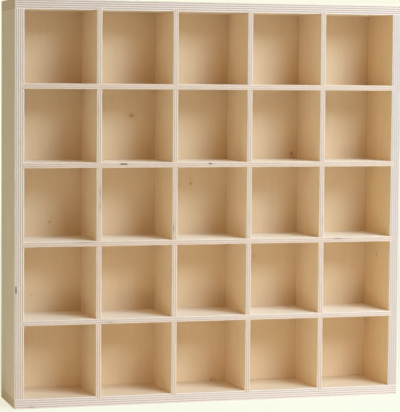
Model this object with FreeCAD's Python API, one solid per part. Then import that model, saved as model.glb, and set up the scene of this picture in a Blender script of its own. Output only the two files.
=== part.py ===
import FreeCAD, Part
import os

# Pigeonhole shelf: a square plywood case with a grid of open compartments.
# A frame of thicker plywood holds a crate of thin uprights and shelves, which are halved
# into each other. A thin back panel lies in a rebate round the rear of the frame.
# Millimetres. +X is the right as seen from the front, +Y is the rear and +Z is up.
# The origin is the middle of the footprint, on the surface that the shelf stands on.

# Grid of compartments, clear sizes between the boards
COLUMNS = 5
ROWS = 5
COMPARTMENT_WIDTH = 90.0
COMPARTMENT_HEIGHT = 90.0
COMPARTMENT_DEPTH = 88.0

# Plywood sheets
FRAME_THICKNESS = 12.0
DIVIDER_THICKNESS = 6.5
BACK_THICKNESS = 4.0

# Joints: housings hold the ends of the dividers, the rebate holds the back panel
HOUSING_DEPTH = 3.0
REBATE_WIDTH = 6.0
SLIP_FIT = 0.1  # gap at each face of a divider in a housing or a halving
BACK_FIT = 0.25  # gap round the back panel in its rebate
EDGE_EASE = 0.5  # flat sanded on the arrises that a hand meets

# Brads through the top and bottom into the ends of the sides
BRADS_PER_CORNER = 3
BRAD_LENGTH = 30.0
BRAD_DIAMETER = 1.6
BRAD_HEAD_DIAMETER = 2.6
BRAD_HEAD_HEIGHT = 1.0
BRAD_SET = 0.5  # depth of the head below the surface
BRAD_MARGIN = 16.0  # from the front and rear edges to the nearest brad

# Panel pins through the back, with flush heads
PIN_LENGTH = 15.0
PIN_DIAMETER = 1.2
PIN_HEAD_DIAMETER = 2.6
PIN_HEAD_HEIGHT = 0.6
DIVIDER_PIN_EVERY = 2  # a divider is pinned at every second compartment

NAIL_FIT = 0.05  # gap round a nail in its hole
TOUCH = 0.001  # two places nearer than this are the same place

# Sizes that follow
INNER_WIDTH = COLUMNS * COMPARTMENT_WIDTH + (COLUMNS - 1) * DIVIDER_THICKNESS
INNER_HEIGHT = ROWS * COMPARTMENT_HEIGHT + (ROWS - 1) * DIVIDER_THICKNESS
DEPTH = COMPARTMENT_DEPTH + BACK_THICKNESS
INNER_RIGHT = INNER_WIDTH / 2
OUTER_RIGHT = INNER_RIGHT + FRAME_THICKNESS
FLOOR = FRAME_THICKNESS
CEILING = FLOOR + INNER_HEIGHT
MIDDLE = (FLOOR + CEILING) / 2
HEIGHT = CEILING + FRAME_THICKNESS
FRONT = -DEPTH / 2
REAR = DEPTH / 2
BACK_FACE = FRONT + COMPARTMENT_DEPTH
LAP_FACE = FRONT + COMPARTMENT_DEPTH / 2
COLUMN_PITCH = COMPARTMENT_WIDTH + DIVIDER_THICKNESS
ROW_PITCH = COMPARTMENT_HEIGHT + DIVIDER_THICKNESS
SLOT_WIDTH = DIVIDER_THICKNESS + 2 * SLIP_FIT

DOWN = FreeCAD.Vector(0, 0, -1)
UP = FreeCAD.Vector(0, 0, 1)
FORWARD = FreeCAD.Vector(0, -1, 0)


def between(a, b):
    """The (low, high) limits of the stretch from one place to another."""
    return (min(a, b), max(a, b))


def around(middle, width):
    """The (low, high) limits of a width centred on a place."""
    return (middle - width / 2, middle + width / 2)


def steps(first, pitch, count):
    """Places at an even pitch."""
    return [first + pitch * i for i in range(count)]


COLUMN_CENTRES = steps(COMPARTMENT_WIDTH / 2 - INNER_RIGHT, COLUMN_PITCH, COLUMNS)
ROW_CENTRES = steps(FLOOR + COMPARTMENT_HEIGHT / 2, ROW_PITCH, ROWS)
UPRIGHT_CENTRES = [x + COLUMN_PITCH / 2 for x in COLUMN_CENTRES[:-1]]
SHELF_CENTRES = [z + ROW_PITCH / 2 for z in ROW_CENTRES[:-1]]


def block(x, y, z):
    """A square-edged block between the (low, high) limits on each axis."""
    corner = FreeCAD.Vector(x[0], y[0], z[0])
    return Part.makeBox(x[1] - x[0], y[1] - y[0], z[1] - z[0], corner)


def ease(board, wanted):
    """Sand a small flat on the edges whose middles are wanted."""
    edges = [edge for edge in board.Edges if wanted(edge.BoundBox.Center)]
    return board.makeChamfer(EDGE_EASE, edges)


def same(a, b):
    """Whether two places on an axis are one place."""
    return abs(a - b) < TOUCH


def nail(point, direction, length, diameter, head_diameter, head_height, gap=0.0):
    """A headed nail with the top of its head at point or, with a gap, the hole for it."""
    shank = Part.makeCylinder(diameter / 2 + gap, length + gap, point, direction)
    head = Part.makeCylinder(head_diameter / 2 + gap, head_height, point, direction)
    return head.fuse(shank).removeSplitter()


def brad_surfaces():
    """Where each brad enters the top or the bottom, and the way it is driven."""
    run = DEPTH - 2 * BRAD_MARGIN
    depths = steps(FRONT + BRAD_MARGIN, run / (BRADS_PER_CORNER - 1), BRADS_PER_CORNER)
    side_middle = INNER_RIGHT + FRAME_THICKNESS / 2
    return [
        (FreeCAD.Vector(x, y, z), way)
        for z, way in ((HEIGHT, DOWN), (0.0, UP))
        for x in (-side_middle, side_middle)
        for y in depths
    ]


def brad(place):
    """One brad, its head set a little below the surface."""
    surface, way = place
    size = (BRAD_LENGTH, BRAD_DIAMETER, BRAD_HEAD_DIAMETER, BRAD_HEAD_HEIGHT)
    return nail(surface + way * BRAD_SET, way, *size)


def brad_hole(place):
    """The hole that a brad fills, open to the surface above its head."""
    surface, way = place
    size = (BRAD_SET + BRAD_LENGTH, BRAD_DIAMETER, BRAD_HEAD_DIAMETER, BRAD_SET + BRAD_HEAD_HEIGHT)
    return nail(surface, way, *size, gap=NAIL_FIT)


def pin_surfaces():
    """Where each panel pin enters the back: round the rebate, then into the dividers."""
    line = REBATE_WIDTH / 2
    spots = [(x, z) for x in (-INNER_RIGHT - line, INNER_RIGHT + line) for z in ROW_CENTRES]
    spots += [(x, z) for z in (FLOOR - line, CEILING + line) for x in COLUMN_CENTRES]
    pinned = slice(DIVIDER_PIN_EVERY - 1, None, DIVIDER_PIN_EVERY)
    spots += [(x, z) for x in UPRIGHT_CENTRES for z in ROW_CENTRES[pinned]]
    spots += [(x, z) for z in SHELF_CENTRES for x in COLUMN_CENTRES[pinned]]
    return [FreeCAD.Vector(x, REAR, z) for x, z in spots]


def pin(surface, gap=0.0):
    """One panel pin with a flush head or, with a gap, the hole for it."""
    size = (PIN_LENGTH, PIN_DIAMETER, PIN_HEAD_DIAMETER, PIN_HEAD_HEIGHT)
    return nail(surface, FORWARD, *size, gap=gap)


def drilled(board, holes):
    """The board with every hole that reaches it."""
    near = [hole for hole in holes if hole.BoundBox.intersect(board.BoundBox)]
    return board.cut(near)


def cap_panel(inner, outer):
    """The top or the bottom: housings for the uprights and a stopped rebate for the back."""
    outward = 1 if outer > inner else -1
    panel = block((-OUTER_RIGHT, OUTER_RIGHT), (FRONT, REAR), between(inner, outer))
    panel = ease(panel, lambda c: not same(c.z, inner))
    housing = between(inner, inner + outward * HOUSING_DEPTH)
    cuts = [block(around(x, SLOT_WIDTH), (FRONT, REAR), housing) for x in UPRIGHT_CENTRES]
    rebate = between(inner, inner + outward * REBATE_WIDTH)
    rebate_length = INNER_WIDTH + 2 * REBATE_WIDTH
    cuts.append(block(around(0.0, rebate_length), (BACK_FACE, REAR), rebate))
    return panel.cut(cuts)


def side_panel(hand):
    """The left (-1) or right (+1) side: housings for the shelves and a rebate for the back."""
    inner = hand * INNER_RIGHT
    outer = hand * OUTER_RIGHT
    panel = block(between(inner, outer), (FRONT, REAR), (FLOOR, CEILING))
    rebated = FreeCAD.Vector(inner, REAR, MIDDLE)
    panel = ease(panel, lambda c: same(c.z, MIDDLE) and not c.isEqual(rebated, TOUCH))
    housing = between(inner, inner + hand * HOUSING_DEPTH)
    cuts = [block(housing, (FRONT, REAR), around(z, SLOT_WIDTH)) for z in SHELF_CENTRES]
    rebate = between(inner, inner + hand * REBATE_WIDTH)
    cuts.append(block(rebate, (BACK_FACE, REAR), (FLOOR, CEILING)))
    return panel.cut(cuts)


def back_panel():
    """The back, a loose fit in the rebate and flush with the rear of the frame."""
    lip = REBATE_WIDTH - BACK_FIT
    across = around(0.0, INNER_WIDTH + 2 * lip)
    return block(across, (BACK_FACE, REAR), around(MIDDLE, INNER_HEIGHT + 2 * lip))


def upright(x):
    """An upright whose halvings are open to the front, with its ends in the housings."""
    run = around(MIDDLE, INNER_HEIGHT + 2 * HOUSING_DEPTH)
    board = block(around(x, DIVIDER_THICKNESS), (FRONT, BACK_FACE), run)
    board = ease(board, lambda c: same(c.y, FRONT) and not same(c.x, x))
    across = around(x, SLOT_WIDTH)
    return board.cut([block(across, (FRONT, LAP_FACE), around(z, SLOT_WIDTH)) for z in SHELF_CENTRES])


def shelf(z):
    """A shelf whose halvings are open to the rear, with its ends in the housings."""
    run = around(0.0, INNER_WIDTH + 2 * HOUSING_DEPTH)
    board = block(run, (FRONT, BACK_FACE), around(z, DIVIDER_THICKNESS))
    board = ease(board, lambda c: same(c.y, FRONT) and not same(c.z, z))
    across = around(z, SLOT_WIDTH)
    return board.cut([block(around(x, SLOT_WIDTH), (LAP_FACE, BACK_FACE), across) for x in UPRIGHT_CENTRES])


def boards():
    """Every plywood board by name, before it is drilled."""
    made = {
        "top_panel": cap_panel(CEILING, HEIGHT),
        "bottom_panel": cap_panel(FLOOR, 0.0),
        "left_side": side_panel(-1),
        "right_side": side_panel(1),
        "back_panel": back_panel(),
    }
    for number, x in enumerate(UPRIGHT_CENTRES, 1):
        made[f"upright_{number}"] = upright(x)
    for number, z in enumerate(SHELF_CENTRES, 1):
        made[f"shelf_{number}"] = shelf(z)
    return made


def main():
    os.makedirs("parts", exist_ok=True)
    brad_places = brad_surfaces()
    pin_places = pin_surfaces()
    holes = [brad_hole(place) for place in brad_places]
    holes += [pin(place, NAIL_FIT) for place in pin_places]
    pieces = {name: drilled(board, holes) for name, board in boards().items()}
    pieces["corner_brads"] = Part.makeCompound([brad(place) for place in brad_places])
    pieces["back_panel_pins"] = Part.makeCompound([pin(place) for place in pin_places])
    for name, piece in pieces.items():
        piece.exportStep(f"parts/{name}.step")
        print(name, len(piece.Solids), "solids", round(piece.Volume), "mm3")
    print(f"overall {2 * OUTER_RIGHT:g} x {DEPTH:g} x {HEIGHT:g} mm")


main()
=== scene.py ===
"""Looks of a pigeonhole shelf: bare birch plywood boards, nails, and a pale studio round them."""
import math
from collections import namedtuple

import bmesh
import bpy
from mathutils import Matrix, Vector, noise as space_noise


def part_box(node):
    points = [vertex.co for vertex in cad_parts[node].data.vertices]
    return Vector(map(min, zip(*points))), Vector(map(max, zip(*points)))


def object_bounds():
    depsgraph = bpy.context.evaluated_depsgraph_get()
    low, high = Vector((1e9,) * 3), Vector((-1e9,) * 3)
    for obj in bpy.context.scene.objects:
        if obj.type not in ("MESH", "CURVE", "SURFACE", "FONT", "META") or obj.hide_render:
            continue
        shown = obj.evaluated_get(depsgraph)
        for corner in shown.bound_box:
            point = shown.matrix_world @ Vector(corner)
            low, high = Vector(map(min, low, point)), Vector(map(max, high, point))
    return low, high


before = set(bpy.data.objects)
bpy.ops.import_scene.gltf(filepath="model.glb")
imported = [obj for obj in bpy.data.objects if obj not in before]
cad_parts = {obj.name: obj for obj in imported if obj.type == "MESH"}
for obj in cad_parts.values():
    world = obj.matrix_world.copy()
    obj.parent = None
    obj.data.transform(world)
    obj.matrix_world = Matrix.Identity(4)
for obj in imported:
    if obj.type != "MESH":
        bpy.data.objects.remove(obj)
CAD_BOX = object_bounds()

bl_info = {
    "name": "Pigeonhole Shelf",
    "version": (1, 0, 0),
    "blender": (4, 5, 0),
    "location": "3D View > Sidebar > Shelf",
    "description": "Finishes a plywood pigeonhole shelf and sets it in a pale studio",
    "category": "Object",
}

MM = 0.001
AXES = {"X": Vector((1, 0, 0)), "Y": Vector((0, 1, 0)), "Z": Vector((0, 0, 1))}

# The way the face grain runs on each board of the frame, and the way through its thickness
FRAME_BOARDS = {
    "top_panel": ("X", "Z"),
    "bottom_panel": ("X", "Z"),
    "left_side": ("Z", "X"),
    "right_side": ("Z", "X"),
}
UPRIGHTS = [f"upright_{number}" for number in range(1, 5)]
SHELVES = [f"shelf_{number}" for number in range(1, 5)]
NAILS = ["corner_brads", "back_panel_pins"]

# Where the seeds of each kind of board start, so that no two boards have the same grain
FRAME_SEED = 1
UPRIGHT_SEED = 11
SHELF_SEED = 21
BACK_SEED = 31

# Painted light and shade: shares of red, green and blue by which a board's face veneers and sawn edges are
# painted paler or darker than the rest, standing in for how brightly the lamps light each board
# The shelves' and uprights' faces are painted paler, as if more lit; the back's and bottom's darker, as if
# in shade
FACE_PAINTED_LIGHT = {
    "back_panel": (0.94, 0.91, 0.88),
    "bottom_panel": (0.93, 0.91, 0.89),
    "left_side": (0.98, 1.04, 1.2),
    "right_side": (1.0, 0.98, 0.92),
    **dict.fromkeys(UPRIGHTS, (1.05, 1.08, 1.15)),
    **dict.fromkeys(SHELVES, (1.02, 1.08, 1.22)),
}
# Painted light on the sawn edges: the top's, the bottom's and the left side's are painted paler, as if more
# lit
EDGE_PAINTED_LIGHT = {
    **dict.fromkeys(UPRIGHTS, (1.04, 0.97, 0.94)),
    **dict.fromkeys(SHELVES, (1.1, 0.99, 0.91)),
    "shelf_1": (1.1, 1.06, 1.05),
    "shelf_2": (1.11, 1.02, 0.96),
    "upright_1": (1.15, 1.07, 1.01),
    "upright_2": (1.1, 1.03, 0.97),
    "top_panel": (1.18, 1.16, 1.21),
    "bottom_panel": (1.19, 1.24, 1.35),
    "left_side": (1.22, 1.19, 1.21),
    "right_side": (0.95, 0.96, 1.01),
}
UNTINTED = (1, 1, 1)
# How dark the cross plies of some boards are at their sawn edges, against the rest of their kind
END_TONES = {"left_side": 1.25, "right_side": 0.6, "top_panel": 1.2, "upright_1": 1.4, "upright_2": 1.2}

# Small knots and stains in the face veneers, in millimetres: where each lies on its board, its size along
# and across the grain, how dark it is, and which face it is on
Knot = namedtuple("Knot", "along across length width strength face", defaults=("low",))
KNOTS = {
    "back_panel": (
        Knot(357.4, -82.6, 5.0, 7.0, 0.72),
        Knot(269.8, -3.8, 3.0, 2.6, 0.90),
        Knot(275.6, -3.9, 6.0, 1.6, 0.25),
        Knot(308.1, 133.3, 3.6, 3.4, 1.0),
        Knot(302.8, 135.4, 2.2, 9.0, 0.55),
        Knot(222.4, -189.0, 3.4, 2.6, 0.75),
        Knot(227.4, -185.2, 4.6, 3.0, 0.20),
        Knot(12.8, 26.4, 3.0, 3.2, 0.95),
        Knot(12.8, 30.4, 2.4, 2.4, 0.75),
        Knot(129.9, -212.6, 4.0, 3.2, 0.20),
        Knot(174.1, 82.4, 6.4, 5.0, 0.30),
        Knot(391.0, 64.0, 5.5, 4.2, 0.70, "high"),
        Knot(148.0, -117.0, 3.4, 2.8, 0.80, "high"),
        Knot(96.0, 171.0, 7.0, 5.0, 0.45, "high"),
    ),
    "right_side": (
        Knot(177.1, 0.2, 5.2, 3.2, 0.65),
        Knot(331.0, -14.0, 4.0, 3.2, 0.60, "high"),
    ),
    "left_side": (Knot(412.0, 21.0, 3.0, 2.4, 0.55),),
    "top_panel": (Knot(118.0, 8.0, 4.4, 3.4, 0.60, "high"),),
}
KNOT_SOFTNESS = 0.7

# Gaps and dark streaks in the core plies, seen at the front edges: where each lies along its board, its ply
# counted from the board's low face, its length, how dark it is, and whether it is cut open, with painted
# shade inside it, or only painted dark
Gap = namedtuple("Gap", "along ply length strength is_open", defaults=(True,))
GAPS = {
    "shelf_3": (Gap(-113.6, 3, 10.0, 0.90), Gap(-2.7, 3, 4.5, 0.60)),
    "shelf_2": (Gap(167.4, 3, 13.0, 0.55, False), Gap(-165.4, 3, 24.0, 0.35, False)),
    "shelf_1": (Gap(-130.4, 1, 8.0, 0.40, False),),
    "upright_1": (
        Gap(264.8, 3, 14.0, 0.55, False),
        Gap(248.1, 3, 10.0, 0.45, False),
        Gap(364.8, 1, 16.0, 0.25, False),
    ),
    "upright_2": (Gap(219.0, 1, 12.0, 0.60, False),),
    "upright_4": (Gap(226.4, 3, 9.0, 0.25, False),),
    "left_side": (Gap(146.8, 1, 9.0, 0.90),),
    "bottom_panel": (Gap(-229.2, 1, 7.0, 0.45, False),),
}
GAP_DEPTH = 3.5
# Height of a gap against its ply, since a gap takes splinters of the plies beside it too
GAP_RISE = 1.4
GAP_SOFTNESS = 0.1
# Painted shade inside an open gap, a dark patch where its hollow lies in shade: how deep its middle lies, as
# a share of the gap's depth, and its half sizes, as shares of the gap's length, its depth and its ply
SHADE_INSET = 0.6
SHADE_LENGTH = 0.6
SHADE_DEPTH = 0.7
SHADE_RISE = 0.75
# Keeps the corners of a gap's cutter off the plane of the edge it cuts, in millimetres
GAP_INSET = 0.17
# A gap's cutter is a ball that is made ragged, and flat above and below
BALL_SUBDIVISIONS = 3
RAGGED_SHARE = 0.5
RAGGED_SCALE = 2.5
FLAT_STRETCH = 1.6
FLAT_HEIGHT = 0.85
# How near vertices are joined before and after a cut, in millimetres
CLOSED_WITHIN = 0.001
CLEANED_WITHIN = 0.02


def srgb(red, green, blue):
    """A colour given in 0 to 255 as a screen shows it, in Blender's linear light."""
    def linear(level):
        level /= 255
        return level / 12.92 if level <= 0.04045 else ((level + 0.055) / 1.055) ** 2.4
    return (linear(red), linear(green), linear(blue))


def colour_property(name, description, *levels):
    return bpy.props.FloatVectorProperty(
        name=name, description=description, default=srgb(*levels), subtype="COLOR", size=3, min=0, max=1
    )


def share_property(name, description, default):
    return bpy.props.FloatProperty(
        name=name, description=description, default=default, min=0, max=1, subtype="FACTOR"
    )


def length_property(name, description, default):
    return bpy.props.FloatProperty(name=name, description=description, default=default, unit="LENGTH")


def angle_property(name, description, default):
    return bpy.props.FloatProperty(name=name, description=description, default=default, subtype="ANGLE")


def power_property(name, description, default):
    return bpy.props.FloatProperty(
        name=name, description=description, default=default, min=0, subtype="POWER"
    )


def place_property(name, description, *default):
    return bpy.props.FloatVectorProperty(
        name=name, description=description, default=default, subtype="TRANSLATION", size=3
    )


class ShelfPlywood(bpy.types.PropertyGroup):
    """Colours and layers of the bare birch plywood"""

    face_pale: colour_property("Pale face", "Sapwood of the face veneers", 244, 214, 179)
    face_deep: colour_property("Deep face", "Darker streaks of the face veneers", 232, 196, 151)
    edge_pale: colour_property("Pale ply", "Plies seen along their grain at a sawn edge", 204, 176, 161)
    edge_deep: colour_property("Deep ply", "Plies seen on their end grain at a sawn edge", 160, 133, 112)
    knot: colour_property("Pin knot", "Small round knots in the face veneers", 166, 104, 16)
    # Ply gap: painted shade inside the open gaps, and the colour of the dark marks where no gap is cut
    gap: colour_property("Ply gap", "Gaps and stains in the core plies", 96, 52, 18)
    board_figure: share_property(
        "Board figure", "How strongly the grain shows on the frame, the uprights and the shelves", 0.7
    )
    divider_end_tone: share_property(
        "Divider end tone", "How dark the cross plies are at the uprights' and shelves' edges", 0.75
    )
    back_figure: share_property("Back figure", "How strongly the grain shows on the back panel", 0.35)
    sheen: share_property("Sheen", "How much the raised fibres catch light at a low angle", 0.25)
    frame_plies: bpy.props.IntProperty(
        name="Frame plies", description="Layers in the frame's boards", default=9, min=3, max=15
    )
    divider_plies: bpy.props.IntProperty(
        name="Divider plies", description="Layers in the uprights and shelves", default=5, min=3, max=9
    )
    back_plies: bpy.props.IntProperty(
        name="Back plies", description="Layers in the back panel", default=3, min=3, max=5
    )


class ShelfNails(bpy.types.PropertyGroup):
    """Colours of the brads and panel pins"""

    bright: colour_property("Bright steel", "Drawn wire where it is clean", 176, 174, 170)
    dull: colour_property("Dull steel", "Drawn wire where it has dulled", 104, 100, 94)


class ShelfStage(bpy.types.PropertyGroup):
    """The floor, the lamps and the camera"""

    backdrop: colour_property("Backdrop", "Pale floor and background", 252, 251, 232)
    front_glow: colour_property("Front glow", "Faint even light from the front and the right", 10, 8, 4)
    left_glow: colour_property("Left glow", "Even warm light from the left", 190, 174, 128)
    rear_glow: colour_property("Rear glow", "Even light from straight behind", 200, 196, 188)
    key_power: power_property("Key power", "Power of the large soft lamp", 134)
    key_tint: colour_property("Key tint", "Colour of the soft lamps", 196, 228, 255)
    key_turn: angle_property(
        "Key turn", "How far right of the front the soft lamp stands", math.radians(34)
    )
    key_rise: angle_property("Key rise", "How far above the level the soft lamp stands", math.radians(30))
    key_distance: length_property("Key distance", "From the shelf's middle to the soft lamp", 2.5)
    key_aim: place_property("Key aim", "Where on the floor the soft lamp faces", 1.5, -1.07, 0.0)
    key_width: length_property("Key width", "Width of the soft lamp", 1.5)
    key_height: length_property("Key height", "Height of the soft lamp", 1.8)
    top_power: power_property("Top power", "Power of the soft lamp overhead", 3)
    top_place: place_property(
        "Top place", "Where the lamp overhead hangs, in front of the shelf", 0.1, -0.75, 1.9
    )
    top_width: length_property("Top width", "Width and depth of the lamp overhead", 0.8)
    foot_power: power_property("Foot power", "Power of the low strip lamp before the shelf", 0.5)
    foot_tint: colour_property("Foot tint", "Colour of the low strip lamp", 238, 234, 210)
    foot_place: place_property(
        "Foot place", "Where the strip lamp lies, close to the floor", 0.1, -0.32, 0.03
    )
    foot_width: length_property("Foot width", "Width of the strip lamp", 1.3)
    foot_height: length_property("Foot height", "Height of the strip lamp", 0.04)
    camera_place: place_property("Camera place", "Where the camera stands", -0.6669, -2.3359, 0.4086)
    camera_turn: angle_property(
        "Camera turn", "How far right of straight ahead the camera looks", 0.2770
    )
    camera_tilt: angle_property("Camera tilt", "How far below the level the camera looks", 0.0679)
    camera_roll: angle_property(
        "Camera roll", "How far the camera leans about its line of sight", 0.0077
    )
    camera_lens: bpy.props.FloatProperty(
        name="Camera lens", description="Focal length", default=167.15, subtype="DISTANCE_CAMERA"
    )


def node(tree, kind, inputs=None, **settings):
    """Add a node with its settings, and feed its inputs with plain values or other nodes' sockets."""
    made = tree.nodes.new(kind)
    for name, value in settings.items():
        setattr(made, name, value)
    for key, value in (inputs or {}).items():
        if isinstance(value, bpy.types.NodeSocket):
            tree.links.new(value, made.inputs[key])
        else:
            made.inputs[key].default_value = value
    return made


def maths(tree, operation, *values):
    """The result of a Math node."""
    return node(tree, "ShaderNodeMath", dict(enumerate(values)), operation=operation).outputs[0]


def vector_maths(tree, operation, *values, output=0):
    """The result of a Vector Math node."""
    made = node(tree, "ShaderNodeVectorMath", dict(enumerate(values)), operation=operation)
    return made.outputs[output]


def split(tree, vector):
    """The three parts of a vector."""
    return node(tree, "ShaderNodeSeparateXYZ", {0: vector}).outputs


def joined(tree, *parts):
    """A vector of up to three parts."""
    return node(tree, "ShaderNodeCombineXYZ", dict(enumerate(parts))).outputs[0]


# Which of a Mix node's sockets hold the two values, the two colours and the mixed colour
MIX_VALUES = (2, 3)
MIX_COLOURS = (6, 7)
MIXED_COLOUR = 2


def mix_values(tree, factor, *values):
    """A mix of two values."""
    inputs = {"Factor": factor, **dict(zip(MIX_VALUES, values))}
    return node(tree, "ShaderNodeMix", inputs, data_type="FLOAT").outputs[0]


def mix(tree, factor, *colours):
    """A mix of two colours."""
    opaque = [
        colour if isinstance(colour, bpy.types.NodeSocket) else (*colour, 1) for colour in colours
    ]
    inputs = {"Factor": factor, **dict(zip(MIX_COLOURS, opaque))}
    return node(tree, "ShaderNodeMix", inputs, data_type="RGBA").outputs[MIXED_COLOUR]


def ramp(tree, value, low, high):
    """0 up to low, 1 from high on, and an even slope between."""
    inputs = {"Value": value, "From Min": low, "From Max": high}
    return node(tree, "ShaderNodeMapRange", inputs).outputs[0]


def fall_off(tree, value, low, high):
    """1 up to low, 0 from high on, and an even slope between."""
    return maths(tree, "SUBTRACT", 1, ramp(tree, value, low, high))


# A kind of noise: how long, wide and deep its features are, in millimetres, its detail and its roughness
Noise = namedtuple("Noise", "stretch detail rough", defaults=(0.5,))


def noise(tree, place, kind):
    """Noise of one kind, at a place in millimetres."""
    scaled = vector_maths(tree, "DIVIDE", place, kind.stretch)
    inputs = {"Vector": scaled, "Scale": 1, "Detail": kind.detail, "Roughness": kind.rough}
    return node(tree, "ShaderNodeTexNoise", inputs).outputs[0]


VALUE = "NodeSocketFloat"
VECTOR = "NodeSocketVector"
COLOUR = "NodeSocketColor"
FINISH_SOCKETS = {"Colour": COLOUR, "Roughness": VALUE, "Height": VALUE}


def new_group(name, inputs, outputs):
    """An empty shader node group with its named sockets, ready to be filled in."""
    tree = bpy.data.node_groups.new(name, "ShaderNodeTree")
    for label, kind in inputs.items():
        tree.interface.new_socket(label, in_out="INPUT", socket_type=kind)
    for label, kind in outputs.items():
        tree.interface.new_socket(label, in_out="OUTPUT", socket_type=kind)
    return tree, tree.nodes.new("NodeGroupInput").outputs, tree.nodes.new("NodeGroupOutput").inputs


# The speckle that makes the outlines of marks uneven, and by which shares it does so
SPECKLE = Noise((1.3, 1.3, 1.3), 2)
UNEVEN_LEAST = 0.6
UNEVEN_RANGE = 0.8


def board_place_group():
    """Turns a place on the shelf into millimetres along, across and through one board."""
    ways = ["Along", "Across", "Through"]
    sockets = dict.fromkeys(["Place", "Facing", *ways, "Corner"], VECTOR)
    results = {"Place": VECTOR, "Facing": VECTOR, "Uneven": VALUE}
    tree, given, out = new_group("Board Place", sockets, results)
    from_corner = vector_maths(tree, "SUBTRACT", given["Place"], given["Corner"])
    in_mm = vector_maths(tree, "DIVIDE", from_corner, (MM, MM, MM))
    for label, vector in (("Place", in_mm), ("Facing", given["Facing"])):
        parts = [vector_maths(tree, "DOT_PRODUCT", vector, given[way], output="Value") for way in ways]
        tree.links.new(joined(tree, *parts), out[label])
    speckle = maths(tree, "MULTIPLY", noise(tree, in_mm, SPECKLE), UNEVEN_RANGE)
    tree.links.new(maths(tree, "ADD", UNEVEN_LEAST, speckle), out["Uneven"])
    return tree


# In radii of a mark: its outer edge and how far softness spreads that, the faint halo round it, and how far
# the grain bends round it
MARK_EDGE = 1.1
MARK_SPREAD = 0.4
HALO_RADII = (0.8, 2.8)
BEND_RADII = (0.0, 5.0)
# How dark the halo of a wholly soft mark is, against the mark
HALO_SHARE = 0.35


def wood_mark_group():
    """Adds one dark mark, such as a pin knot, or a gap in a ply with its painted shade, and bends the grain
    round it.
    """
    sockets = {
        "Place": VECTOR, "Uneven": VALUE, "Mark": VALUE, "Centre": VECTOR, "Half Size": VECTOR,
        "Strength": VALUE, "Softness": VALUE,
    }
    tree, given, out = new_group("Wood Mark", sockets, {"Place": VECTOR, "Mark": VALUE})
    offset = vector_maths(tree, "SUBTRACT", given["Place"], given["Centre"])
    shares = vector_maths(tree, "DIVIDE", offset, given["Half Size"])
    from_centre = vector_maths(tree, "LENGTH", shares, output="Value")
    radii = maths(tree, "MULTIPLY", from_centre, given["Uneven"])
    softness = given["Softness"]
    inner = maths(tree, "SUBTRACT", 1, softness)
    outer = maths(tree, "ADD", MARK_EDGE, maths(tree, "MULTIPLY", softness, MARK_SPREAD))
    core = fall_off(tree, radii, inner, outer)
    halo_share = maths(tree, "MULTIPLY", softness, HALO_SHARE)
    halo = maths(tree, "MULTIPLY", fall_off(tree, radii, *HALO_RADII), halo_share)
    dark = maths(tree, "MULTIPLY", maths(tree, "MAXIMUM", core, halo), given["Strength"])
    tree.links.new(maths(tree, "MAXIMUM", given["Mark"], dark), out["Mark"])
    side = maths(tree, "SIGN", split(tree, offset)["Y"])
    sideways = maths(tree, "MULTIPLY", side, split(tree, given["Half Size"])["Y"])
    reach = fall_off(tree, radii, *BEND_RADII)
    push = maths(tree, "MULTIPLY", maths(tree, "MULTIPLY", reach, reach), sideways)
    bent = vector_maths(tree, "SUBTRACT", given["Place"], joined(tree, 0, push))
    tree.links.new(bent, out["Place"])
    return tree


# How the plies wander from level, and over how many millimetres
PLY_WANDER = Noise((14, 14, 9), 2)
WANDER_RANGE = 0.5
# How far from the joint of two plies a glue line begins to fade and ends, as shares of a ply
GLUE_LINE = (0.03, 0.12)


def ply_layers_group():
    """Which ply a place lies in, whether its grain runs across the board, and the glue lines."""
    tree, given, out = new_group(
        "Ply Layers",
        {"Place": VECTOR, "Ply Thickness": VALUE, "Plies": VALUE},
        {"Ply": VALUE, "Cross": VALUE, "Glue": VALUE},
    )
    uneven = maths(tree, "SUBTRACT", noise(tree, given["Place"], PLY_WANDER), 0.5)
    wander = maths(tree, "MULTIPLY", uneven, WANDER_RANGE)
    through = split(tree, given["Place"])["Z"]
    plies_up = maths(tree, "DIVIDE", maths(tree, "ADD", through, wander), given["Ply Thickness"])
    last = maths(tree, "SUBTRACT", given["Plies"], 1)
    whole_plies = maths(tree, "MINIMUM", maths(tree, "FLOOR", plies_up), last)
    ply = maths(tree, "MAXIMUM", 0, whole_plies)
    tree.links.new(ply, out["Ply"])
    tree.links.new(maths(tree, "MODULO", ply, 2), out["Cross"])
    line = maths(tree, "ROUND", plies_up)
    off_line = maths(tree, "ABSOLUTE", maths(tree, "SUBTRACT", plies_up, line))
    above_face = maths(tree, "GREATER_THAN", line, 0.5)
    inside = maths(tree, "MULTIPLY", above_face, maths(tree, "LESS_THAN", line, last))
    glue = maths(tree, "MULTIPLY", fall_off(tree, off_line, *GLUE_LINE), inside)
    tree.links.new(glue, out["Glue"])
    return tree


# How far apart in the noise the grain of a board's plies lies, and that of two boards
PLY_APART = 37.0
SEED_APART = 211.0
# The kinds of noise in the grain, as they run along, across and through it
FIGURE = Noise((190, 34, 60), 2, 0.45)
STREAKS = Noise((120, 2.6, 3.0), 3, 0.6)
CLOUDS = Noise((90, 45, 40), 1)
FIBRES = Noise((7, 0.4, 0.6), 2, 0.6)
# How closely the figure is banded, the shares of bands, streaks and clouds in the tone, and the tone's range
FIGURE_WAVES = 60
BAND_SHARE = 0.16
STREAK_SHARE = 0.5
CLOUD_SHARE = 0.34
TONE_RANGE = (0.25, 0.75)
# How squarely a surface faces along or across the board as it turns into a sawn edge
SAWN_FACING = (0.5, 0.9)
# End grain of the face plies against that of the cross plies, which saws darker
FACE_PLY_END_TONE = 0.45


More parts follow.
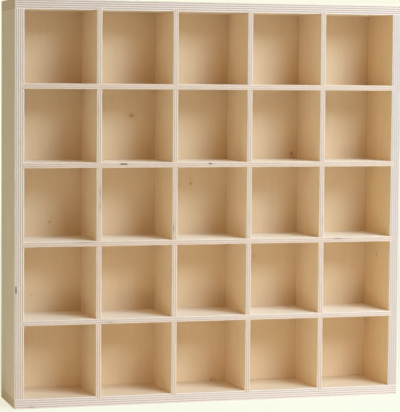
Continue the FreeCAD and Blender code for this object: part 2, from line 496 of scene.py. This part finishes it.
def birch_figure_group():
    """The grain of one ply: soft figure and streaks along it, its fibres, and where it is sawn."""
    values = ["Ply", "Cross", "Seed", "Strength", "End Tone"]
    tree, given, out = new_group(
        "Birch Figure",
        {"Place": VECTOR, "Facing": VECTOR, **dict.fromkeys(values, VALUE)},
        dict.fromkeys(["Tone", "Fibre", "End Grain", "Edge"], VALUE),
    )
    along, across, through = split(tree, given["Place"])
    cross = given["Cross"]
    down_grain = mix_values(tree, cross, along, across)
    across_grain = mix_values(tree, cross, across, along)
    plies_apart = maths(tree, "MULTIPLY", given["Ply"], PLY_APART)
    apart = maths(tree, "ADD", plies_apart, maths(tree, "MULTIPLY", given["Seed"], SEED_APART))
    grain = joined(tree, down_grain, across_grain, maths(tree, "ADD", through, apart))
    waves = maths(tree, "MULTIPLY", noise(tree, grain, FIGURE), FIGURE_WAVES)
    bands = maths(tree, "ADD", 0.5, maths(tree, "MULTIPLY", 0.5, maths(tree, "SINE", waves)))
    streaks = maths(tree, "MULTIPLY", noise(tree, grain, STREAKS), STREAK_SHARE)
    clouds = maths(tree, "MULTIPLY", noise(tree, grain, CLOUDS), CLOUD_SHARE)
    tone = maths(tree, "ADD", maths(tree, "MULTIPLY", bands, BAND_SHARE), streaks)
    tone = maths(tree, "ADD", tone, clouds)
    uneven = maths(tree, "SUBTRACT", ramp(tree, tone, *TONE_RANGE), 0.5)
    strong = maths(tree, "MULTIPLY", uneven, given["Strength"])
    tree.links.new(maths(tree, "ADD", 0.5, strong), out["Tone"])
    tree.links.new(noise(tree, grain, FIBRES), out["Fibre"])
    facing_along, facing_across, _ = split(tree, given["Facing"])
    end_of_board = ramp(tree, maths(tree, "ABSOLUTE", facing_along), *SAWN_FACING)
    edge_of_board = ramp(tree, maths(tree, "ABSOLUTE", facing_across), *SAWN_FACING)
    face_ply_ends = maths(tree, "MULTIPLY", end_of_board, FACE_PLY_END_TONE)
    end_grain = mix_values(tree, cross, face_ply_ends, edge_of_board)
    tree.links.new(maths(tree, "MULTIPLY", end_grain, given["End Tone"]), out["End Grain"])
    tree.links.new(edge_of_board, out["Edge"])
    return tree


# The fibre noise between open pores and raised fibres, and how deep the pores are in colour
PORE_RANGE = (0.35, 0.65)
PORE_SHARE = 0.10
# How much of the end grain's colour shows where the tone is deepest, and how much more where it is palest
END_LEAST = 0.55
END_RANGE = 0.45
# How much of the knots' colour the glue lines have
GLUE_SHARE = 0.35
# Roughness of the wood in its pores, and what end grain and raised fibres add to it
BIRCH_ROUGHNESS = 0.52
END_ROUGHNESS = 0.25
FIBRE_ROUGHNESS = 0.08
# How far glue lines and knots lie below the fibres, as shares of the relief
GLUE_HOLLOW = 0.6
KNOT_HOLLOW = 0.3


def bare_birch_group():
    """Colour, roughness and relief of bare sanded birch from its grain, plies and knots."""
    values = ["Tone", "Fibre", "End Grain", "Edge", "Glue", "Knot", "Gap"]
    colours = ["Face Pale", "Face Deep", "Edge Pale", "Edge Deep", "Knot Colour", "Gap Colour"]
    sockets = {**dict.fromkeys(values, VALUE), **dict.fromkeys(colours, COLOUR)}
    tree, given, out = new_group("Bare Birch", sockets, FINISH_SOCKETS)
    face = mix(tree, given["Tone"], given["Face Deep"], given["Face Pale"])
    long_grain = mix(tree, given["Edge"], face, given["Edge Pale"])
    end_tone = maths(tree, "ADD", END_LEAST, maths(tree, "MULTIPLY", given["Tone"], END_RANGE))
    end_share = maths(tree, "MULTIPLY", given["End Grain"], end_tone)
    sawn = mix(tree, end_share, long_grain, given["Edge Deep"])
    raised = ramp(tree, given["Fibre"], *PORE_RANGE)
    pores = maths(tree, "MULTIPLY", maths(tree, "SUBTRACT", 1, raised), PORE_SHARE)
    fibred = mix(tree, pores, sawn, given["Face Deep"])
    glue_share = maths(tree, "MULTIPLY", given["Glue"], GLUE_SHARE)
    glued = mix(tree, glue_share, fibred, given["Knot Colour"])
    knotted = mix(tree, given["Knot"], glued, given["Knot Colour"])
    # Painted shade inside open gaps, and dark marks where none is cut
    tree.links.new(mix(tree, given["Gap"], knotted, given["Gap Colour"]), out["Colour"])
    end_rough = maths(tree, "MULTIPLY", given["End Grain"], END_ROUGHNESS)
    rough = maths(tree, "ADD", BIRCH_ROUGHNESS, end_rough)
    fibre_rough = maths(tree, "MULTIPLY", raised, FIBRE_ROUGHNESS)
    tree.links.new(maths(tree, "ADD", rough, fibre_rough), out["Roughness"])
    glue_hollow = maths(tree, "MULTIPLY", given["Glue"], GLUE_HOLLOW)
    relief = maths(tree, "SUBTRACT", given["Fibre"], glue_hollow)
    knot_hollow = maths(tree, "MULTIPLY", given["Knot"], KNOT_HOLLOW)
    tree.links.new(maths(tree, "SUBTRACT", relief, knot_hollow), out["Height"])
    return tree


# Patches of dulled wire, the noise between clean and dull, and the fine marks of drawing
DULLING = Noise((1.4, 1.4, 1.4), 3)
DULL_RANGE = (0.35, 0.7)
DRAWING_MARKS = Noise((0.2, 0.2, 2.0), 2)
# Roughness of clean steel, and what dulling adds to it
STEEL_ROUGHNESS = 0.32
DULL_ROUGHNESS = 0.3


def drawn_steel_group():
    """Uneven dulling of drawn steel wire."""
    sockets = {"Place": VECTOR, "Bright": COLOUR, "Dull": COLOUR}
    tree, given, out = new_group("Drawn Steel", sockets, FINISH_SOCKETS)
    in_mm = vector_maths(tree, "DIVIDE", given["Place"], (MM, MM, MM))
    dulling = ramp(tree, noise(tree, in_mm, DULLING), *DULL_RANGE)
    tree.links.new(mix(tree, dulling, given["Bright"], given["Dull"]), out["Colour"])
    dull_rough = maths(tree, "MULTIPLY", dulling, DULL_ROUGHNESS)
    tree.links.new(maths(tree, "ADD", STEEL_ROUGHNESS, dull_rough), out["Roughness"])
    tree.links.new(noise(tree, in_mm, DRAWING_MARKS), out["Height"])
    return tree


GROUP_MAKERS = {
    "Board Place": board_place_group,
    "Wood Mark": wood_mark_group,
    "Ply Layers": ply_layers_group,
    "Birch Figure": birch_figure_group,
    "Bare Birch": bare_birch_group,
    "Drawn Steel": drawn_steel_group,
}


def put_group(tree, name, **inputs):
    """Put a shared group in a material, and feed it by its socket names, with _ for each space."""
    shared = bpy.data.node_groups.get(name) or GROUP_MAKERS[name]()
    fed = {label.replace("_", " "): value for label, value in inputs.items()}
    return node(tree, "ShaderNodeGroup", fed, node_tree=shared).outputs


def new_material(name):
    """A material with only a Principled shader and its output."""
    material = bpy.data.materials.new(name)
    material.use_nodes = True
    tree = material.node_tree
    tree.nodes.clear()
    shader = node(tree, "ShaderNodeBsdfPrincipled")
    node(tree, "ShaderNodeOutputMaterial", {"Surface": shader.outputs[0]})
    return material, tree, shader


RELIEF_STRENGTH = 0.5


def give_finish(tree, shader, finish, relief_depth):
    """Feed a finish's colour, roughness and fine relief, which is in millimetres, into a shader."""
    tree.links.new(finish["Colour"], shader.inputs["Base Color"])
    tree.links.new(finish["Roughness"], shader.inputs["Roughness"])
    relief = {"Height": finish["Height"], "Distance": relief_depth * MM, "Strength": RELIEF_STRENGTH}
    tree.links.new(node(tree, "ShaderNodeBump", relief).outputs[0], shader.inputs["Normal"])


class Board:
    """A plywood board: its ways along, across and through the grain, and its plies in millimetres."""

    def __init__(self, name, along, through, plies):
        across = (set(AXES) - {along, through}).pop()
        self.name = name
        self.ways = [AXES[along], AXES[across], AXES[through]]
        self.corner, far_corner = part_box(name)
        self.low = [self.corner.dot(way) / MM for way in self.ways]
        self.thickness = far_corner.dot(self.ways[2]) / MM - self.low[2]
        self.plies = plies
        self.ply = self.thickness / plies

    def knots(self):
        """Middle, half size, strength and softness of each knot, from the board's low corner."""
        for knot in KNOTS.get(self.name, ()):
            face = self.thickness if knot.face == "high" else 0
            middle = (knot.along - self.low[0], knot.across - self.low[1], face)
            yield middle, (knot.length / 2, knot.width / 2, self.ply), knot.strength, KNOT_SOFTNESS

    def gaps(self):
        """Middle, half size, strength and softness of each gap's painted shade or dark mark, from the
        board's low corner.
        """
        for gap in GAPS.get(self.name, ()):
            if gap.is_open:
                middle = self.gap_middle(gap, SHADE_INSET * GAP_DEPTH)
                half_size = (SHADE_LENGTH * gap.length, SHADE_DEPTH * GAP_DEPTH, SHADE_RISE * self.ply)
                yield middle, half_size, gap.strength, GAP_SOFTNESS
            else:
                yield self.gap_middle(gap), self.gap_half_size(gap), gap.strength, KNOT_SOFTNESS

    def gap_middle(self, gap, inset=0.0):
        """The middle of a gap, on the board's front edge or a little inside it."""
        return (gap.along - self.low[0], inset, (gap.ply + 0.5) * self.ply)

    def gap_half_size(self, gap):
        """Half a gap's length and height, and its whole depth, since its middle is at the board's edge."""
        return (gap.length / 2, GAP_DEPTH, GAP_RISE * self.ply / 2)

    def place(self, along, across, through):
        """A place given from the board's low corner, as a point in the shelf's frame."""
        sizes = (along, across, through)
        return self.corner + sum((way * size * MM for way, size in zip(self.ways, sizes)), Vector())


def cut_gaps(board):
    """Cut the open gaps of the core plies into a board's front edge."""
    gaps = [gap for gap in GAPS.get(board.name, ()) if gap.is_open]
    if not gaps:
        return
    shape = bmesh.new()
    for gap in gaps:
        middle = board.gap_middle(gap, GAP_INSET)
        half_size = board.gap_half_size(gap)
        own_noise = Vector((gap.along, gap.length, 0))
        ball = bmesh.ops.create_icosphere(shape, subdivisions=BALL_SUBDIVISIONS, radius=1)
        for vertex in ball["verts"]:
            ragged = 1 + RAGGED_SHARE * space_noise.noise(vertex.co * RAGGED_SCALE + own_noise)
            along, across, through = vertex.co * ragged
            through = max(-FLAT_HEIGHT, min(FLAT_HEIGHT, through * FLAT_STRETCH))
            sizes = [m + h * s for m, h, s in zip(middle, half_size, (along, across, through))]
            vertex.co = board.place(*sizes)
    bmesh.ops.recalc_face_normals(shape, faces=shape.faces)
    mesh = bpy.data.meshes.new(f"{board.name}_gaps")
    shape.to_mesh(mesh)
    shape.free()
    cutter = bpy.data.objects.new(f"{board.name}_gaps", mesh)
    bpy.context.scene.collection.objects.link(cutter)
    cutter.hide_render = True
    cutter.display_type = "WIRE"
    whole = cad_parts[board.name]
    closed = whole.modifiers.new("closed", "WELD")
    closed.merge_threshold = CLOSED_WITHIN * MM
    cut = whole.modifiers.new("gaps", "BOOLEAN")
    cut.operation = "DIFFERENCE"
    cut.object = cutter
    cleaned = whole.modifiers.new("cleaned", "WELD")
    cleaned.merge_threshold = CLEANED_WITHIN * MM


def put_marks(tree, place, uneven, marks):
    """Put marks in a material, and give the place bent round them and a mask of them."""
    mask = 0.0
    for middle, half_size, strength, softness in marks:
        marked = put_group(
            tree, "Wood Mark", Place=place, Uneven=uneven, Mark=mask, Centre=middle, Half_Size=half_size,
            Strength=strength, Softness=softness,
        )
        place, mask = marked["Place"], marked["Mark"]
    return place, mask


def tinted(colour, tint):
    """A colour with its red, green and blue scaled, as an opaque colour."""
    return (*(level * share for level, share in zip(colour, tint)), 1)


SHEEN_ROUGHNESS = 0.4
# Depth of the fibres, in millimetres
BIRCH_RELIEF = 0.12


def plywood(board, seed, figure_strength, end_tone):
    """Bare birch plywood for one board: its grain, its plies at the sawn edges, and its marks."""
    look = bpy.context.scene.shelf_plywood
    material, tree, shader = new_material(f"{board.name}_birch")
    given = node(tree, "ShaderNodeTexCoord").outputs
    along, across, through = board.ways
    on_board = put_group(
        tree, "Board Place", Place=given["Object"], Facing=given["Normal"], Along=along, Across=across,
        Through=through, Corner=board.corner,
    )
    place, knot = put_marks(tree, on_board["Place"], on_board["Uneven"], board.knots())
    # The gaps' mask: painted shade inside the open gaps, and dark marks where none is cut
    place, gap = put_marks(tree, place, on_board["Uneven"], board.gaps())
    layers = put_group(tree, "Ply Layers", Place=place, Ply_Thickness=board.ply, Plies=board.plies)
    figure = put_group(
        tree, "Birch Figure", Place=place, Facing=on_board["Facing"], Ply=layers["Ply"],
        Cross=layers["Cross"], Seed=seed, Strength=figure_strength, End_Tone=end_tone,
    )
    # Painted light and shade of this board, as tints of its faces and its edges
    face_painted_light = FACE_PAINTED_LIGHT.get(board.name, UNTINTED)
    edge_painted_light = EDGE_PAINTED_LIGHT.get(board.name, UNTINTED)
    birch = put_group(
        tree, "Bare Birch", Tone=figure["Tone"], Fibre=figure["Fibre"], End_Grain=figure["End Grain"],
        Edge=figure["Edge"], Glue=layers["Glue"], Knot=knot, Gap=gap,
        Face_Pale=tinted(look.face_pale, face_painted_light), Face_Deep=tinted(look.face_deep, face_painted_light),
        Edge_Pale=tinted(look.edge_pale, edge_painted_light), Edge_Deep=tinted(look.edge_deep, edge_painted_light),
        Knot_Colour=(*look.knot, 1), Gap_Colour=(*look.gap, 1),
    )
    give_finish(tree, shader, birch, BIRCH_RELIEF)
    shader.inputs["Sheen Weight"].default_value = look.sheen
    shader.inputs["Sheen Roughness"].default_value = SHEEN_ROUGHNESS
    return material


def give_material(name, material):
    """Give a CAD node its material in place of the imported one."""
    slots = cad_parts[name].data.materials
    slots.clear()
    slots.append(material)


def finish_board(name, along, through, plies, seed, figure_strength, end_tone=1.0):
    """Cut a board's gaps and give it its plywood."""
    board = Board(name, along, through, plies)
    cut_gaps(board)
    give_material(name, plywood(board, seed, figure_strength, end_tone * END_TONES.get(name, 1.0)))


class SHELF_OT_frame(bpy.types.Operator):
    """Finish the top, the bottom and the sides"""

    bl_idname = "shelf.frame"
    bl_label = "Frame"

    def execute(self, context):
        look = context.scene.shelf_plywood
        for seed, (name, (along, through)) in enumerate(FRAME_BOARDS.items(), FRAME_SEED):
            finish_board(name, along, through, look.frame_plies, seed, look.board_figure)
        return {"FINISHED"}


class SHELF_OT_uprights(bpy.types.Operator):
    """Finish the uprights"""

    bl_idname = "shelf.uprights"
    bl_label = "Uprights"

    def execute(self, context):
        look = context.scene.shelf_plywood
        for seed, name in enumerate(UPRIGHTS, UPRIGHT_SEED):
            finish_board(name, "Z", "X", look.divider_plies, seed, look.board_figure, look.divider_end_tone)
        return {"FINISHED"}


class SHELF_OT_shelves(bpy.types.Operator):
    """Finish the shelves"""

    bl_idname = "shelf.shelves"
    bl_label = "Shelves"

    def execute(self, context):
        look = context.scene.shelf_plywood
        for seed, name in enumerate(SHELVES, SHELF_SEED):
            finish_board(name, "X", "Z", look.divider_plies, seed, look.board_figure, look.divider_end_tone)
        return {"FINISHED"}


class SHELF_OT_back(bpy.types.Operator):
    """Finish the back panel"""

    bl_idname = "shelf.back"
    bl_label = "Back panel"

    def execute(self, context):
        look = context.scene.shelf_plywood
        finish_board("back_panel", "Z", "Y", look.back_plies, BACK_SEED, look.back_figure)
        return {"FINISHED"}


# Depth of the marks of drawing, in millimetres
WIRE_RELIEF = 0.02


class SHELF_OT_nails(bpy.types.Operator):
    """Finish the brads and the panel pins"""

    bl_idname = "shelf.nails"
    bl_label = "Nails"

    def execute(self, context):
        look = context.scene.shelf_nails
        material, tree, shader = new_material("drawn_steel")
        place = node(tree, "ShaderNodeTexCoord").outputs["Object"]
        steel = put_group(
            tree, "Drawn Steel", Place=place, Bright=(*look.bright, 1), Dull=(*look.dull, 1)
        )
        give_finish(tree, shader, steel, WIRE_RELIEF)
        shader.inputs["Metallic"].default_value = 1.0
        for name in NAILS:
            give_material(name, material)
        return {"FINISHED"}


class SHELF_OT_stage(bpy.types.Operator):
    """Set the floor, the lamps, the background and the camera"""

    bl_idname = "shelf.stage"
    bl_label = "Stage"

    def execute(self, context):
        scene = context.scene
        stage = scene.shelf_stage
        scene.view_settings.view_transform = "Standard"
        make_floor(stage)
        make_background(scene, stage)
        make_lamps(stage)
        make_camera(scene, stage)
        return {"FINISHED"}


def seen_directly(tree):
    """1 for rays from the camera or by way of gloss or glass, else 0."""
    path = node(tree, "ShaderNodeLightPath").outputs
    shown = maths(tree, "MAXIMUM", path["Is Camera Ray"], path["Is Glossy Ray"])
    return maths(tree, "MAXIMUM", shown, path["Is Transmission Ray"])


# Half the floor's width, in metres
FLOOR_REACH = 30.0
# How much of the floor's look is the backdrop's own colour near the shelf, where its shadow lies, and how
# far from the shelf, in metres, that begins to rise and is the whole
FLOOR_GLOW = 0.8
GLOW_RISE = (0.8, 4.0)


def make_floor(stage):
    """A wide pale floor that takes the shelf's shadow."""
    mesh = bpy.data.meshes.new("floor")
    square = ((-1, -1), (1, -1), (1, 1), (-1, 1))
    corners = [(x * FLOOR_REACH, y * FLOOR_REACH, 0) for x, y in square]
    mesh.from_pydata(corners, [], [range(len(corners))])
    floor = bpy.data.objects.new("floor", mesh)
    bpy.context.scene.collection.objects.link(floor)
    material = bpy.data.materials.new("pale_floor")
    material.use_nodes = True
    tree = material.node_tree
    tree.nodes.clear()
    pale = (*stage.backdrop, 1)
    matt = node(tree, "ShaderNodeBsdfDiffuse", {"Color": pale})
    glow = node(tree, "ShaderNodeEmission", {"Color": pale})
    place = node(tree, "ShaderNodeTexCoord").outputs["Object"]
    distance = vector_maths(tree, "LENGTH", place, output="Value")
    rise = maths(tree, "MULTIPLY", ramp(tree, distance, *GLOW_RISE), 1 - FLOOR_GLOW)
    share = maths(tree, "MULTIPLY", seen_directly(tree), maths(tree, "ADD", FLOOR_GLOW, rise))
    both = node(tree, "ShaderNodeMixShader", {0: share, 1: matt.outputs[0], 2: glow.outputs[0]})
    node(tree, "ShaderNodeOutputMaterial", {"Surface": both.outputs[0]})
    mesh.materials.append(material)


# Where the left glow is strongest, and how it and the rear glow rise as a direction turns toward them
LEFT = (-0.87, -0.49, 0.0)
LEFT_RISE = (-0.2, 1)
REAR_RISE = (0.4, 1)


def make_background(scene, stage):
    """Light from the left and from behind, and a background in the backdrop's colour."""
    world = bpy.data.worlds.new("studio")
    scene.world = world
    world.use_nodes = True
    tree = world.node_tree
    tree.nodes.clear()
    way = node(tree, "ShaderNodeTexCoord").outputs["Generated"]
    toward_left = vector_maths(tree, "DOT_PRODUCT", way, LEFT, output="Value")
    toward_rear = split(tree, way)["Y"]
    before = mix(tree, ramp(tree, toward_left, *LEFT_RISE), stage.front_glow, stage.left_glow)
    glow = mix(tree, ramp(tree, toward_rear, *REAR_RISE), before, stage.rear_glow)
    shown = node(tree, "ShaderNodeBackground", {"Color": (*stage.backdrop, 1)})
    light = node(tree, "ShaderNodeBackground", {"Color": glow})
    sources = {0: seen_directly(tree), 1: light.outputs[0], 2: shown.outputs[0]}
    both = node(tree, "ShaderNodeMixShader", sources)
    node(tree, "ShaderNodeOutputWorld", {"Surface": both.outputs[0]})


def make_soft_lamp(name, place, aim, size, power, tint):
    """A rectangular lamp that faces the point it is aimed at."""
    data = bpy.data.lights.new(name, "AREA")
    data.shape = "RECTANGLE"
    data.size, data.size_y = size
    data.energy = power
    data.color = tint
    lamp = bpy.data.objects.new(name, data)
    bpy.context.scene.collection.objects.link(lamp)
    lamp.visible_camera = False
    lamp.location = place
    lamp.rotation_euler = (place - aim).to_track_quat("Z", "Y").to_euler()
    return lamp


def keep_off_floor(lamp):
    """Let a lamp light the shelf alone."""
    lit = bpy.data.collections.new(f"lit_by_{lamp.name}")
    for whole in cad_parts.values():
        lit.objects.link(whole)
    lamp.light_linking.receiver_collection = lit


def turn(angle, axis):
    """A turn about one of the axes."""
    return Matrix.Rotation(angle, 4, axis)


def make_lamps(stage):
    """A large soft lamp in front on the right, a small one overhead, and a low strip for the shelf alone."""
    middle = (CAD_BOX[0] + CAD_BOX[1]) / 2
    to_key = turn(stage.key_turn, "Z") @ turn(-stage.key_rise, "X") @ Vector((0, -stage.key_distance, 0))
    key_size = (stage.key_width, stage.key_height)
    key_aim = Vector(stage.key_aim)
    make_soft_lamp("key_lamp", middle + to_key, key_aim, key_size, stage.key_power, stage.key_tint)
    top_place = Vector(stage.top_place)
    below = Vector((top_place.x, top_place.y, 0))
    top_size = (stage.top_width, stage.top_width)
    make_soft_lamp("top_lamp", top_place, below, top_size, stage.top_power, stage.key_tint)
    foot_place = Vector(stage.foot_place)
    ahead = Vector((foot_place.x, 0, foot_place.z))
    foot_size = (stage.foot_width, stage.foot_height)
    foot_lamp = make_soft_lamp(
        "foot_lamp", foot_place, ahead, foot_size, stage.foot_power, stage.foot_tint
    )
    keep_off_floor(foot_lamp)


def make_camera(scene, stage):
    """The camera, with its turn, tilt and roll about a level line of sight along +Y."""
    data = bpy.data.cameras.new("camera")
    data.lens = stage.camera_lens
    camera = bpy.data.objects.new("camera", data)
    scene.collection.objects.link(camera)
    camera.matrix_world = (
        Matrix.Translation(stage.camera_place)
        @ turn(-stage.camera_turn, "Z")
        @ turn(-stage.camera_tilt, "X")
        @ turn(-stage.camera_roll, "Y")
        @ turn(math.pi / 2, "X")
    )
    scene.camera = camera


class SHELF_PT_panel(bpy.types.Panel):
    """The shelf's pieces and its stage"""

    bl_idname = "SHELF_PT_panel"
    bl_label = "Pigeonhole Shelf"
    bl_space_type = "VIEW_3D"
    bl_region_type = "UI"
    bl_category = "Shelf"

    def draw(self, context):
        for operator in OPERATORS:
            self.layout.operator(operator.bl_idname)
        for settings in SETTINGS:
            group_of_settings = getattr(context.scene, settings)
            for name in group_of_settings.bl_rna.properties.keys():
                if name not in ("rna_type", "name"):
                    self.layout.prop(group_of_settings, name)


SETTINGS = {"shelf_plywood": ShelfPlywood, "shelf_nails": ShelfNails, "shelf_stage": ShelfStage}
OPERATORS = (
    SHELF_OT_frame, SHELF_OT_uprights, SHELF_OT_shelves, SHELF_OT_back, SHELF_OT_nails, SHELF_OT_stage
)
CLASSES = (*SETTINGS.values(), *OPERATORS, SHELF_PT_panel)


def register():
    for made in CLASSES:
        bpy.utils.register_class(made)
    for name, settings in SETTINGS.items():
        setattr(bpy.types.Scene, name, bpy.props.PointerProperty(type=settings))


def unregister():
    for name in SETTINGS:
        delattr(bpy.types.Scene, name)
    for made in reversed(CLASSES):
        bpy.utils.unregister_class(made)


def main():
    register()
    bpy.ops.shelf.frame()
    bpy.ops.shelf.uprights()
    bpy.ops.shelf.shelves()
    bpy.ops.shelf.back()
    bpy.ops.shelf.nails()
    bpy.ops.shelf.stage()


if __name__ == "__main__":
    main()
